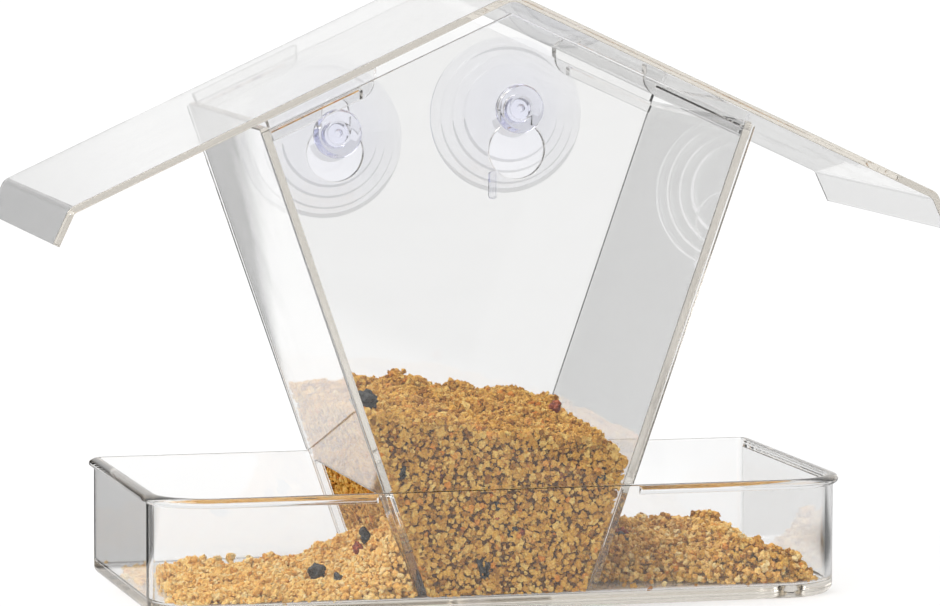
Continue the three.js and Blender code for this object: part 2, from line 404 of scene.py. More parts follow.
def fruit_material(name, dark, light, shine):
    """Dried fruit: wrinkled skin, with painted shade in its folds, lighter on its ridges."""
    n = Nodes(name)
    where = n.coords()
    folds = n.noise(where, 700, detail=4, roughness=0.6)
    surface = n.add("ShaderNodeBsdfPrincipled")
    # Painted shade: the colour darkens where the bump sinks into folds.
    n.link(n.ramp(folds, [(0.42, dark), (0.7, light)]), surface.inputs["Base Color"])
    n.link(n.remap(folds, 0.3, 0.7, shine, shine + 0.35), surface.inputs["Roughness"])
    n.link(n.bump(folds, 0.8, 0.0008), surface.inputs["Normal"])
    n.link(surface.outputs[0], n.output.inputs["Surface"])
    return n.owner


PLASTIC = clear_plastic(
    "clear plastic",
    tint=(0.956, 0.957, 0.957),
    edge_tint=(0.83, 0.79, 0.72),
    density=14,
    ior=1.53,
    roughness=0.02,
    ripple=0.05,
)
PVC = clear_plastic(
    "soft clear PVC",
    tint=(0.966, 0.967, 0.973),
    edge_tint=(0.74, 0.76, 0.96),
    density=45,
    ior=1.45,
    roughness=0.04,
    ripple=0.08,
)
CRUMB = crumb_material(
    "feed crumb",
    [
        (0.0, (0.38, 0.17, 0.025)),
        (0.2, (0.7, 0.39, 0.075)),
        (0.6, (0.88, 0.54, 0.115)),
        (0.9, (0.96, 0.72, 0.25)),
        (1.0, (0.84, 0.33, 0.04)),
    ],
    grain=1400,
)
# Painted light: a lighter copy of the feed crumb, with weaker darkening, for the crumbs in the tray.
PAINTED_LIGHT_CRUMB = crumb_material(
    "feed crumb, painted lighter",
    [
        (0.0, (0.85, 0.46, 0.11)),
        (0.2, (0.98, 0.61, 0.18)),
        (0.7, (1.0, 0.71, 0.27)),
        (1.0, (1.0, 0.83, 0.44)),
    ],
    grain=1400,
    shade=0.35,
)
# Painted shade: the heap's inner mass, seen in the gaps between crumbs, is coloured dark as their
# shade.
CORE = crumb_material(
    "feed painted dark as shade",
    [(0.0, (0.26, 0.14, 0.04)), (1.0, (0.32, 0.17, 0.05))],
    grain=900,
)
PILE_CORE = crumb_material(
    "feed under crumbs",
    [(0.0, (0.6, 0.36, 0.12)), (1.0, (0.7, 0.42, 0.15))],
    grain=900,
)
DARK_FRUIT = fruit_material("dark dried berry", (0.006, 0.006, 0.006), (0.07, 0.07, 0.065), 0.4)
RED_FRUIT = fruit_material("red dried fruit", (0.16, 0.02, 0.005), (0.5, 0.12, 0.03), 0.35)


def finish(obj, material, slot, body, *nodes):
    obj.data.materials.clear()
    obj.data.materials.append(material)
    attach(obj, body)
    if nodes:
        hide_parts(*nodes)
    return obj


# ---- tray -----------------------------------------------------------------------------------


def tray_ring(inward, bead):
    """The tray's outline at an inset, pushed out by the bead except where it is cut away."""
    half = TRAY_HIGH[0] - END_BEAD_PROUD
    front = TRAY_LOW[1] + BEAD_PROUD
    end_bead = bead * END_BEAD_PROUD / BEAD_PROUD
    # The bead grows out along a quarter circle over its first millimetre.
    bead_end = [(BEAD_GAP_HALF + 1 - d, math.sqrt(1 - d * d)) for d in (1, 0.95, 0.75, 0.4, 0)]
    right = [(x, front + inward - bead * share) for x, share in bead_end]
    middle = (half - FRONT_CORNER, front + FRONT_CORNER)
    radius = FRONT_CORNER - inward
    for c, s in arc((0, 0), 1, -90, 0, 20):
        right.append((middle[0] + (radius + end_bead) * c, middle[1] + (radius + bead) * s))
    radius = max(BACK_CORNER - inward, LEAST_CORNER)
    middle = (half - inward - radius, TRAY_HIGH[1] - inward - radius)
    # The end bead dies out as the back corner begins.
    fading = [1, 0.8] + [0] * 9
    for (x, y), share in zip(arc(middle, radius, 0, 90, 10), fading):
        right.append((x + end_bead * share, y))
    return right + [(-x, y) for x, y in reversed(right)]


def tray_levels():
    """(inset, bead, height) up the outside, over the round bead and down the inside."""
    levels = []
    for t in np.radians(np.linspace(0, 90, 7)):
        levels.append((TRAY_FOOT_EDGE * (1 - math.sin(t)), 0, TRAY_FOOT_EDGE * (1 - math.cos(t))))
    middle = TRAY_HEIGHT - BEAD_HEIGHT / 2
    for t in np.radians(np.linspace(-90, 90, 15)):
        reach = BEAD_PROUD if t < 0 else BEAD_PROUD + BEAD_OVER_WALL
        across = BEAD_PROUD - reach * (1 - math.cos(t))
        levels.append((max(-across, 0), max(across, 0), middle + BEAD_HEIGHT / 2 * math.sin(t)))
    for t in np.radians(np.linspace(0, 90, 4)):
        drop = RIM_EDGE * (1 - math.cos(t))
        levels.append((TRAY_WALL - RIM_EDGE * (1 - math.sin(t)), 0, TRAY_HEIGHT - drop))
    for t in np.radians(np.linspace(0, 90, 7)):
        reach = FLOOR_FILLET * (1 - math.cos(t))
        levels.append((TRAY_WALL + reach, 0, TRAY_FLOOR + FLOOR_FILLET * (1 - math.sin(t))))
    return levels


def make_tray():
    rings = [[(x, y, z) for x, y in tray_ring(inward, out)] for inward, out, z in tray_levels()]
    return loft("tray_moulding", rings, angle=50)


finish(make_tray(), PLASTIC, "clear_plastic", "feeder_body", "tray")

# ---- hopper ---------------------------------------------------------------------------------


def panel_outline():
    z0 = TRAY_HEIGHT + GAP
    top_x = wall_face(WALL_TOP)
    return [
        (-wall_face(z0), z0),
        (wall_face(z0), z0),
        (top_x, panel_top(top_x)),
        (0, APEX),
        (-top_x, panel_top(top_x)),
    ]


def keyhole(x):
    shoulder = math.degrees(math.asin(SLOT_HALF / KEYHOLE_RADIUS))
    circle = arc((x, KEYHOLE_Z), KEYHOLE_RADIUS, 90 + shoulder, 450 - shoulder, 40)
    return circle + arc((x, SLOT_TOP), SLOT_HALF, 0, 180, 16)


def side_wall(word, side):
    """A sloping wall of the hopper, with the feed outlet cut up from its foot."""
    along = math.hypot(1, LEAN)
    low = (TRAY_FLOOR + GAP) * along + WALL_ACROSS * LEAN / along
    high = WALL_TOP * along
    outlet = OUTLET_TOP * along
    y0 = TRAY_LOW[1] + BEAD_PROUD + TRAY_WALL + GAP
    y1 = PANEL_BACK - PANEL - GAP
    y_front, y_back = y0 + FRONT_LEG, y1 - BACK_LEG
    r = OUTLET_CORNER
    outline = [(low, y0), (low, y_front)]
    outline += arc((outlet - r, y_front + r), r, -90, 0, 6)
    outline += arc((outlet - r, y_back - r), r, 0, 90, 6)
    outline += [(low, y_back), (low, y1), (high, y1), (high, y0)]
    up = Vector((side * LEAN, 0, 1)).normalized()
    inward = Vector((-side, 0, LEAN)).normalized()
    foot = Vector((side * FOOT_HALF, 0, 0))
    place = Matrix.Translation(foot) @ Matrix((up, Vector((0, 1, 0)), inward)).transposed().to_4x4()
    obj = sheet(f"{word}_hopper_wall_sheet", [outline], WALL_ACROSS / along, place)
    return finish(obj, PLASTIC, "clear_plastic", "feeder_body", f"{word}_hopper_wall")


front_window = sheet("front_window", [panel_outline()], PANEL, upright(PANEL_FRONT + PANEL))
finish(front_window, PLASTIC, "clear_plastic", "feeder_body", "front_panel")
keyholes = [keyhole(-KEYHOLE_X), keyhole(KEYHOLE_X)]
back_window = sheet("back_window", [panel_outline(), *keyholes], PANEL, upright(PANEL_BACK))
finish(back_window, PLASTIC, "clear_plastic", "feeder_body", "back_panel")
for word, side in (("left", -1), ("right", 1)):
    side_wall(word, side)

# ---- roof -----------------------------------------------------------------------------------


def bent_strip(corners, radii, thickness, steps=10):
    """Outline of a sheet of even thickness whose outer face follows the corners."""
    outer, inner = [], []
    for i, corner in enumerate(corners):
        point = Vector(corner)
        behind = (point - Vector(corners[i - 1])).normalized() if i else None
        ahead = (Vector(corners[i + 1]) - point).normalized() if i < len(corners) - 1 else None
        first, last = behind or ahead, ahead or behind
        start = math.atan2(first.x, -first.y)
        turn = start - math.atan2(last.x, -last.y)
        outer_radius = radii[i] + thickness
        count = steps if turn > 0.01 else 0
        middle = start - turn / 2
        reach = outer_radius / math.cos(turn / 2)
        centre = point - reach * Vector((math.cos(middle), math.sin(middle)))
        for k in range(count + 1):
            angle = start - turn * k / max(count, 1)
            out = Vector((math.cos(angle), math.sin(angle)))
            outer.append(tuple(centre + outer_radius * out))
            inner.append(tuple(centre + radii[i] * out))
    return outer + inner[::-1]


def make_roof():
    corners = [(-ROOF_LIP[0], ROOF_LIP[1]), (-ROOF_FOLD[0], ROOF_FOLD[1]), (0, ROOF_APEX)]
    corners += [ROOF_FOLD, ROOF_LIP]
    radii = [0, FOLD_RADIUS, RIDGE_RADIUS, FOLD_RADIUS, 0]
    outline = bent_strip(corners, radii, ROOF_SHEET)
    return sheet("gable_roof", [outline], ROOF_Y[1] - ROOF_Y[0], upright(ROOF_Y[1]))


def make_tab(end, word):
    """A tab under the roof: a ledge on the panel's top edge, a plate inside it, a rib at its foot."""
    side = -1 if word == "left" else 1
    face = PANEL_FRONT + PANEL if end == "front" else PANEL_BACK - PANEL
    inward = 1 if end == "front" else -1

    def limit_x(z):
        return wall_face(z) - WALL_ACROSS - TAB_CLEARANCE

    def section(x, lift, rib, last):
        top = roof_underside(x) - GAP - panel_top(x)
        low = -TAB_BELOW[end] + lift
        back = GAP + TAB_SHEET
        rib_top = min(low + TAB_RIB, 0.0)
        shape = [(-PANEL + 0.05, top), (-PANEL + 0.05, GAP), (GAP, GAP), (GAP, low)]
        shape += [(back + rib, low), (back + rib, rib_top), (back, rib_top + 0.4 * rib), (back, top)]
        ring = []
        for depth, rise in shape:
            z = panel_top(x) + rise
            here = limit_x(z) if last else x
            z += panel_top(here) - panel_top(x) if last else 0
            ring.append((side * here, face + inward * depth, z))
        return ring

    rings = []
    for t in np.radians(np.linspace(0, 90, 7)):
        x = TAB_INNER_X + TAB_CORNER * (1 - math.cos(t))
        rings.append(section(x, TAB_CORNER * (1 - math.sin(t)), 0.02, False))
    rings.append(section(TAB_INNER_X + TAB_CORNER + TAB_RIB_RISE, 0, TAB_RIB_PROUD, False))
    rings.append(section(TAB_STRAIGHT_END, 0, TAB_RIB_PROUD, False))
    rings.append(section(TAB_WALL_END, 0, TAB_RIB_PROUD, True))
    obj = loft(f"tab_{end}_{word}", rings, angle=30)
    return soften(obj, 0.15)


finish(make_roof(), PLASTIC, "clear_plastic", "roof_body", "roof")
for end in ("front", "back"):
    for word in ("left", "right"):
        finish(make_tab(end, word), PLASTIC, "clear_plastic", "roof_body", f"roof_tab_{end}_{word}")

# ---- suction cups ---------------------------------------------------------------------------


def rounded(profile, radius, steps=4):
    """The profile with each inner corner rounded off."""
    points = [Vector(p) for p in profile]
    out = [tuple(points[0])]
    for before, here, after in zip(points, points[1:], points[2:]):
        a, b = before - here, after - here
        reach = min(radius, a.length * 0.45, b.length * 0.45)
        start, end = here + a.normalized() * reach, here + b.normalized() * reach
        for k in range(steps + 1):
            t = k / steps
            out.append(tuple((1 - t) ** 2 * start + 2 * t * (1 - t) * here + t * t * end))
    out.append(tuple(points[-1]))
    return out


def cup_profile():
    """Radius against distance from the glass."""
    deepest, bend, lip = 4.2, (13.5, 4), 20.7
    hollow = [(0, deepest)]
    for t in np.linspace(0, 1, 13)[1:]:
        r = 2 * t * (1 - t) * bend[0] + t * t * lip
        s = (1 - t) ** 2 * deepest + 2 * t * (1 - t) * bend[1]
        hollow.append((r, s))
    outside = [(22.5, 0), (22.5, 0.9), (19.9, 1.8), (19.75, 2.75), (16.9, 3.7), (16.75, 4.7), (14, 5.6)]
    outside += [(13.8, 6.8), (7, 8.5), (4.1, 10), (3.5, 11.4), (3.5, 14.7), (6.2, 14.9), (7, 15.7)]
    outside += [(7, 16.9), (6, 18), (3.5, 18.15), (3.1, 17.6), (1.2, 17.6), (1, 17.3), (1, 16), (0, 16)]
    return hollow + rounded([hollow[-1], *outside], 0.3)[1:]


def make_cup(word):
    side = -1 if word == "left" else 1
    segments = CUP_SEGMENTS
    profile = cup_profile()
    inner = profile[1:-1]
    verts = [(0, 0, profile[0][1])]
    for r, s in inner:
        for k in range(segments):
            t = 2 * math.pi * k / segments
            verts.append((r * math.cos(t), r * math.sin(t), s))
    verts.append((0, 0, profile[-1][1]))
    last = len(verts) - 1
    faces = []
    for k in range(segments):
        after = (k + 1) % segments
        faces.append((0, 1 + after, 1 + k))
        for row in range(len(inner) - 1):
            a, b = 1 + row * segments, 1 + (row + 1) * segments
            faces.append((a + k, a + after, b + after, b + k))
        end = 1 + (len(inner) - 1) * segments
        faces.append((last, end + k, end + after))
    placed = []
    for x, z, s in verts:
        placed.append((side * KEYHOLE_X + x, CUP_RIM_PLANE - s, CUP_RIM_Z[word] + z + CUP_SAG * s))
    obj = mesh_object(f"window_cup_{word}", placed, faces)
    shade(obj, None, 50)
    return finish(obj, PVC, "cup_pvc", f"cup_{word}_body", f"suction_cup_{word}")


def make_pull_tab():
    """A small upright fin at the foot of the right cup's rim, for peeling it off."""
    (x0, x1), (z0, z1), r = FIN_X, FIN_Z, FIN_CORNER
    outline = arc((x1 - r, z0 + r), r, -90, 0, 6) + arc((x1 - r, z1 - r), r, 0, 90, 6)
    outline += arc((x0 + r, z1 - r), r, 90, 180, 6) + arc((x0 + r, z0 + r), r, 180, 270, 6)
    place = upright(CUP_RIM_PLANE - FIN_FROM_GLASS)
    fin = sheet("cup_pull_fin", [outline], FIN_THICKNESS, place, edge=FIN_EDGE)
    return finish(fin, PVC, "cup_pvc", "cup_right_body")


for word in ("left", "right"):
    make_cup(word)
make_pull_tab()

# ---- feed -----------------------------------------------------------------------------------


MOST_CRUMBS = 2400  # in one mesh
SHAPES_IN_MESH = 16  # different crumb shapes
CLEARANCE = 0.05  # between crumbs and the hopper around them
SCATTER = 0.22  # how far crumbs stray from their layer in the heap


def icosphere(level):
    """Unit icosphere vertices and faces."""
    bm = bmesh.new()
    bmesh.ops.create_icosphere(bm, subdivisions=level, radius=1)
    verts = np.array([v.co[:] for v in bm.verts])
    faces = np.array([[v.index for v in f.verts] for f in bm.faces])
    bm.free()
    return verts, faces


def lump_shapes(level, count, roughness, seed):
    """Unit lumps: spheres pushed in and out by noise."""
    verts, faces = icosphere(level)
    shapes = []
    for k in range(count):
        offset = Vector((seed + 13.7 * k, 5.1 * k, 2.3))
        push = []
        for v in verts:
            broad = noise.noise(Vector(v) * 1.3 + offset)
            fine = noise.noise(Vector(v) * 3.1 + offset)
            push.append(broad + 0.5 * fine)
        shapes.append(verts * (1 + roughness * np.array(push))[:, None])
    return np.array(shapes), faces


def rotations(count):
    q = RNG.normal(size=(count, 4))
    q /= np.linalg.norm(q, axis=1)[:, None]
    w, x, y, z = q.T
    rows = [
        [1 - 2 * (y * y + z * z), 2 * (x * y - z * w), 2 * (x * z + y * w)],
        [2 * (x * y + z * w), 1 - 2 * (x * x + z * z), 2 * (y * z - x * w)],
        [2 * (x * z - y * w), 2 * (y * z + x * w), 1 - 2 * (x * x + y * y)],
    ]
    return np.array(rows).transpose(2, 0, 1)


def crumb_mesh(name, centres, sizes, level, roughness=0.95, stretch=(0.75, 1.2), keep_in=None):
    """One mesh of many crumbs, from arrays of centres and radii in millimetres."""
    count = len(centres)
    shapes, faces = lump_shapes(level, SHAPES_IN_MESH, roughness, 3.0 * level)
    chosen = shapes[RNG.integers(0, len(shapes), count)]
    chosen = chosen * RNG.uniform(*stretch, size=(count, 1, 3))
    turned = np.einsum("nij,nvj->nvi", rotations(count), chosen)
    points = turned * np.asarray(sizes)[:, None, None] + np.asarray(centres)[:, None, :]
    if keep_in is not None:
        points = keep_in(points.reshape(-1, 3)).reshape(points.shape)
    n = points.shape[1]
    all_faces = (faces[None] + n * np.arange(count)[:, None, None]).reshape(-1, 3)
    mesh = bpy.data.meshes.new(name)
    mesh.vertices.add(count * n)
    mesh.vertices.foreach_set("co", (points * MM).ravel())
    mesh.loops.add(all_faces.size)
    mesh.loops.foreach_set("vertex_index", all_faces.ravel())
    mesh.polygons.add(len(all_faces))
    mesh.polygons.foreach_set("loop_start", np.arange(0, all_faces.size, 3))
    mesh.update(calc_edges=True)
    if level > 2:
        mesh.shade_smooth()
    else:
        mesh.shade_flat()
    obj = bpy.data.objects.new(name, mesh)
    bpy.context.collection.objects.link(obj)
    return obj


def portions(centres):
    """The centres in numbered portions, each small enough for one mesh."""
    return enumerate(np.array_split(centres, math.ceil(len(centres) / MOST_CRUMBS)))


def hopper_inner(z):
    """Inner face of the hopper's side wall, with the clearance kept from it."""
    return wall_face(z) - WALL_ACROSS - GAP


HEAP_Y0 = TRAY_LOW[1] + BEAD_PROUD + TRAY_WALL + GAP
HEAP_Y1 = PANEL_BACK - PANEL - GAP
HEAP_HALF = 41  # half width of the crumb layers before they are trimmed to the walls
HEAP_CORE_HALF = 38
HEAP_MOST = 62  # no crumb lies higher

# Height of the heap across the hopper, against the front panel and against the back panel.
HEAP_FRONT = ([-40, -23, -7, 9, 25, 31, 36], [54.5, 52, 48.5, 47, 45.5, 42, 36])
HEAP_BACK = ([-41, -22, -9, 3, 18, 25, 36], [53, 53.5, 56, 51, 51, 49.5, 47])


def clumps(x, y, cell, height, seed):
    """Rounded clumps of crumbs on a surface, packed side by side."""
    out = np.zeros(len(x))
    for k, (a, b) in enumerate(zip(x, y)):
        near = noise.voronoi(Vector((a / cell, b / cell, seed)))[0][0]
        size = 0.55 + 0.45 * noise.noise(Vector((a / cell / 2, b / cell / 2, seed + 4)))
        out[k] = height * max(0.0, 1 - (near * 1.25) ** 2) * (size + 0.35)
    return out


def heap_top(x, y):
    """Height of the feed in the hopper."""
    back = np.clip((y - HEAP_Y0) / (HEAP_Y1 - HEAP_Y0), 0, 1)
    level = (1 - back) * np.interp(x, *HEAP_FRONT) + back * np.interp(x, *HEAP_BACK)
    return level - 1.5 + clumps(x, y, 8.5, 3.4, 1.0)


def inside_hopper(points):
    """Points pressed back inside the hopper's walls, panels and floor."""
    p = points.copy()
    p[:, 1] = np.clip(p[:, 1], HEAP_Y0 + CLEARANCE, HEAP_Y1 - CLEARANCE)
    p[:, 2] = np.maximum(p[:, 2], TRAY_FLOOR + GAP)
    side = hopper_inner(p[:, 2]) - CLEARANCE
    p[:, 0] = np.clip(p[:, 0], -side, side)
    return p


def crumb_sizes(count, small=0.38, large=1.3):
    return small + (large - small) * RNG.beta(1.5, 3.0, count)


def jittered(u0, u1, v0, v1, pitch):
    """Points spread evenly over a rectangle, each moved a little."""
    us = np.arange(u0, u1, pitch)
    vs = np.arange(v0, v1, pitch)
    u, v = np.meshgrid(us, vs)
    u = u.ravel() + RNG.uniform(-0.55, 0.55, u.size) * pitch
    v = v.ravel() + RNG.uniform(-0.55, 0.55, v.size) * pitch
    return u, v


def heap_face(axis, depth, pitch):
    """Crumb centres over one face of the heap, at a depth behind it."""
    low = TRAY_FLOOR + 0.8
    if axis in ("front", "back"):
        x, z = jittered(-HEAP_HALF, HEAP_HALF, low, HEAP_MOST, pitch)
        y = np.full_like(x, HEAP_Y0 + depth if axis == "front" else HEAP_Y1 - depth)
    elif axis in ("left", "right"):
        y, z = jittered(HEAP_Y0, HEAP_Y1, low, HEAP_MOST, pitch)
        x = (hopper_inner(z) - depth) * (-1 if axis == "left" else 1)
    else:
        x, y = jittered(-HEAP_HALF, HEAP_HALF, HEAP_Y0 + 0.5, HEAP_Y1 - 0.5, pitch)
        z = heap_top(x, y) - depth
    centres = np.column_stack([x, y, z])
    keep = np.abs(x) < hopper_inner(z) - 0.3
    if axis != "top":
        keep &= z < heap_top(x, y) - 0.5
    centres = centres[keep]
    return centres + RNG.normal(0, SCATTER, centres.shape)


def solid_grid(name, low, high):
    """A closed body between two grids of points, low and high, each (rows, columns, 3)."""
    rows, columns = low.shape[:2]
    verts = np.concatenate([low.reshape(-1, 3), high.reshape(-1, 3)])
    count = rows * columns
    faces = []
    for r in range(rows - 1):
        for c in range(columns - 1):
            a = r * columns + c
            faces.append((a, a + columns, a + columns + 1, a + 1))
            faces.append((a + count, a + 1 + count, a + columns + 1 + count, a + columns + count))
    border = list(range(columns))
    border += [r * columns + columns - 1 for r in range(1, rows)]
    border += [(rows - 1) * columns + c for c in range(columns - 2, -1, -1)]
    border += [r * columns for r in range(rows - 2, 0, -1)]
    for a, b in zip(border, border[1:] + border[:1]):
        faces.append((a, b, b + count, a + count))
    obj = mesh_object(name, verts, faces)
    shade(obj)
    return obj


def heap_core():
    """The mass behind the outer crumbs, coloured dark as painted shade between them."""
    depth = 1.6
    share, y = np.meshgrid(np.linspace(-1, 1, 36), np.linspace(HEAP_Y0 + depth, HEAP_Y1 - depth, 36))
    low_z = TRAY_FLOOR + GAP + 0.1
    low = np.dstack([share * (hopper_inner(low_z) - depth), y, np.full_like(y, low_z)])
    top = heap_top((share * HEAP_CORE_HALF).ravel(), y.ravel())
    z = top.reshape(y.shape) - depth - 0.6
    high = np.dstack([share * (hopper_inner(z) - depth), y, z])
    return solid_grid("feed_heap_core", low, high)


finish(heap_core(), CORE, "feed", "feeder_body", "feed_in_hopper")
# Face of the heap, depth of the layer, spacing and fineness of its crumbs.
LAYERS = [
    ("front", 0.7, 1.22, 2),
    ("front", 1.9, 1.6, 1),
    ("top", 0.4, 1.22, 2),
    ("top", 1.4, 1.5, 1),
    ("left", 0.75, 1.5, 2),
    ("left", 1.7, 1.9, 1),
    ("right", 0.8, 1.6, 1),
    ("back", 0.8, 1.6, 1),
]
for number, (axis, depth, pitch, fineness) in enumerate(LAYERS):
    centres = heap_face(axis, depth, pitch)
    for part, some in portions(centres):
        name = f"feed_heap_{axis}_{number}_{part}"
        crumbs = crumb_mesh(name, some, crumb_sizes(len(some)), fineness, keep_in=inside_hopper)
        finish(crumbs, CRUMB, "feed", "feeder_body")

# The piles in the tray, by distance from the middle: height above the floor, extra height
# where the feed pours out, and where the front and back edges of the pile run.
PILES = {
    "left": {
        "height": ([27, 50, 75, 88, 94], [3.2, 2.7, 2.4, 1.6, 0]),
        "pour": ([27, 31, 36, 42, 48], [11, 8, 4, 1.2, 0]),
        "front": ([30, 94], [-43.5, -42.5]),
        "back": ([27, 38, 50, 94], [38, 30, 23, 23]),
    },
    "right": {
        "height": ([27, 33, 40, 52, 64, 73, 80, 86, 91], [7, 6.6, 6.6, 7.2, 8.2, 8.2, 6.6, 3.6, 0]),
        "pour": ([27, 40], [0, 0]),
        "front": ([30, 48, 67, 87], [-28, -29, -41, -42]),
        "back": ([27, 94], [34, 34]),
    },
}
PILE_X = (24, 94.5)
PILE_PITCH = 1.38
PILE_LAYERS = (0.4, 1.4, 2.6, 4, 6, 8.5)  # depths below the top
STRAY_X = (34, 94)  # single crumbs on the bare floor
STRAY_PITCH = 8.0
PILE_CORE_END = 82
# Share of the pouring height that is reached from front to back.
POUR_ALONG = ([-44, -36, -15, 10, 35], [0.6, 1, 1, 0.6, 0.25])
BAY_Y0 = TRAY_LOW[1] + BEAD_PROUD + TRAY_WALL
BAY_Y1 = TRAY_HIGH[1] - TRAY_WALL
BAY_CORNER = FRONT_CORNER - TRAY_WALL


def pile_height(word, x, y):
    pile = PILES[word]
    seed = 3.0 if word == "left" else 9.0
    far = np.abs(x)
    rise = np.interp(far, *pile["height"]) + np.interp(far, *pile["pour"]) * np.interp(y, *POUR_ALONG)
    swell = np.array([noise.noise(Vector((a * 0.07, b * 0.07, seed))) for a, b in zip(x, y)])
    from_front = (y - np.interp(far, *pile["front"])) / 5
    from_back = (np.interp(far, *pile["back"]) - y) / 9
    edge = np.clip(from_front, 0, 1) * np.clip(from_back, 0, 1)
    uneven = np.clip(1 + 0.9 * swell, 0, None)
    return rise * uneven * edge**0.5 + (clumps(x, y, 6, 2.6, seed) - 0.8) * (rise * edge > 1.0)


def inside_bay(points):
    """Points pressed back inside the tray's walls and clear of the hopper's legs."""
    p = points.copy()
    sign = np.sign(p[:, 0])
    reach = np.minimum(np.abs(p[:, 0]), TRAY_HIGH[0] - END_BEAD_PROUD - TRAY_WALL - 0.4)
    p[:, 2] = np.maximum(p[:, 2], TRAY_FLOOR + 0.05)
    beside_leg = (p[:, 1] < HEAP_Y0 + FRONT_LEG) | (p[:, 1] > HEAP_Y1 - BACK_LEG)
    reach = np.maximum(reach, np.where(beside_leg, wall_face(p[:, 2]) + 0.2, 0))
    p[:, 1] = np.clip(p[:, 1], BAY_Y0 + 0.3, BAY_Y1 - 0.3)
    centre = np.array([TRAY_HIGH[0] - END_BEAD_PROUD - FRONT_CORNER, BAY_Y0 + BAY_CORNER])
    out = np.column_stack([reach, p[:, 1]]) - centre
    far = np.linalg.norm(out, axis=1)
    outside = (out[:, 0] > 0) & (out[:, 1] < 0) & (far > BAY_CORNER - 0.4)
    pull = np.where(outside, (BAY_CORNER - 0.4) / np.maximum(far, 1e-6), 1)
    pulled = centre + out * pull[:, None]
    p[:, 0] = sign * pulled[:, 0]
    p[:, 1] = pulled[:, 1]
    return p


def pile_crumbs(word):
    """Crumb centres in layers under the top of a pile, and strays on the bare floor."""
    sign = -1 if word == "left" else 1
    centres = []
    for depth in PILE_LAYERS:
        x, y = jittered(*PILE_X, BAY_Y0 + 0.6, BAY_Y1 - 1, PILE_PITCH)
        z = TRAY_FLOOR + pile_height(word, sign * x, y) - depth
        keep = (z > TRAY_FLOOR + 0.3) & (x > hopper_inner(z) - 1)
        centres.append(np.column_stack([sign * x, y, z])[keep])
    x, y = jittered(*STRAY_X, BAY_Y0 + 2, BAY_Y1 - 3, STRAY_PITCH)
    centres.append(np.column_stack([sign * x, y, np.full_like(x, TRAY_FLOOR + 0.8)]))
    return np.concatenate(centres)


def pile_core(word):
    """A low mound under the crumbs of a pile."""
    sign = -1 if word == "left" else 1
    start = hopper_inner(TRAY_FLOOR + 6) + 1
    x, share = np.meshgrid(np.linspace(start, PILE_CORE_END, 36), np.linspace(0, 1, 28))
    front = np.interp(x, *PILES[word]["front"]) + 4
    back = np.interp(x, *PILES[word]["back"]) - 6
    y = front + (back - front) * share
    height = pile_height(word, (x * sign).ravel(), y.ravel()).reshape(x.shape)
    low_z = TRAY_FLOOR + 0.15
    low = np.dstack([x * sign, y, np.full_like(x, low_z)])
    high = np.dstack([x * sign, y, low_z + 0.2 + np.maximum(0, 0.75 * height - 2.6)])
    return solid_grid(f"feed_pile_core_{word}", low, high)


for word in ("left", "right"):
    finish(pile_core(word), PILE_CORE, "feed", "feeder_body", f"feed_{word}_tray")
    centres = pile_crumbs(word)
    RNG.shuffle(centres)
    for part, some in portions(centres):
        name = f"feed_pile_{word}_{part}"
        crumbs = crumb_mesh(name, some, crumb_sizes(len(some)), 2, keep_in=inside_bay)
        # Painted light: the tray's crumbs take the lighter copy, except every other portion of the
        # right pile.
        browner = word == "right" and part % 2 == 0
        finish(crumbs, CRUMB if browner else PAINTED_LIGHT_CRUMB, "feed", "feeder_body")

# Dried fruit among the crumbs: place and radius, millimetres.
DARK_BERRIES = [
    ((-37, -36, 57.5), 2.7),
    ((-29.5, -42.6, 38), 2.2),
    ((27, -42.4, 35.5), 2.3),
    ((-2.5, -42.8, 28), 1.7),
    ((1.3, -42.7, 20.5), 1.8),
    ((-6, -42.4, 12), 3.0),
    ((-30.3, -5.7, 16), 2.1),
    ((-46.5, -17.6, 8), 2.6),
    ((-43, -26.5, 7.2), 1.3),
    ((43, -8, 13), 2.0),
]
RED_BITS = [
    ((-33.4, -10.5, 13), 1.7),
    ((15, -43, 35.8), 1.5),
    ((-3.5, -43, 25.2), 1.5),
    ((4, -43, 20.8), 1.4),
    ((45, -1, 13.5), 1.6),
    ((-19, -43, 37.2), 1.3),
    ((20, -20, 52), 1.6),
]
# Small balls of crumbs on the pile and on the bare floor: place and radius, millimetres.
CRUMB_BALLS = [
    ((-38.7, 12.5, 9.1), 2.6),
    ((-68.6, 28.6, 5.2), 1.5),
    ((-64, 29.5, 5.0), 1.1),
    ((-60.5, 30.5, 5.4), 1.4),
    ((66, 14, 13.2), 2.2),
    ((76, 8, 12), 2.0),
]


CRUMBS_IN_BALL = 14  # for each square millimetre of the radius squared
BALL_CRUMB_SIZES = (0.4, 0.9)


def crumb_balls():
    centres = []
    for place, radius in CRUMB_BALLS:
        count = int(CRUMBS_IN_BALL * radius**2)
        away = RNG.normal(size=(count, 3))
        away /= np.linalg.norm(away, axis=1)[:, None]
        reach = (radius - 0.5) * RNG.uniform(0, 1, count)[:, None] ** 0.4
        centres.append(np.array(place) + away * reach)
    centres = np.concatenate(centres)
    sizes = crumb_sizes(len(centres), *BALL_CRUMB_SIZES)
    balls = crumb_mesh("crumb_balls", centres, sizes, 2, keep_in=inside_bay)
    # The balls take the lighter copy: painted light.
    return finish(balls, PAINTED_LIGHT_CRUMB, "feed", "feeder_body")


def fruit(name, places, material):
    centres = np.array([place for place, _ in places])
    sizes = np.array([size for _, size in places])
    obj = crumb_mesh(name, centres, sizes, level=4, roughness=0.6, stretch=(0.6, 1.15))
    return finish(obj, material, "feed", "feeder_body")


crumb_balls()
fruit("dark_berries", DARK_BERRIES, DARK_FRUIT)
fruit("red_fruit_bits", RED_BITS, RED_FRUIT)

# ---- studio ---------------------------------------------------------------------------------


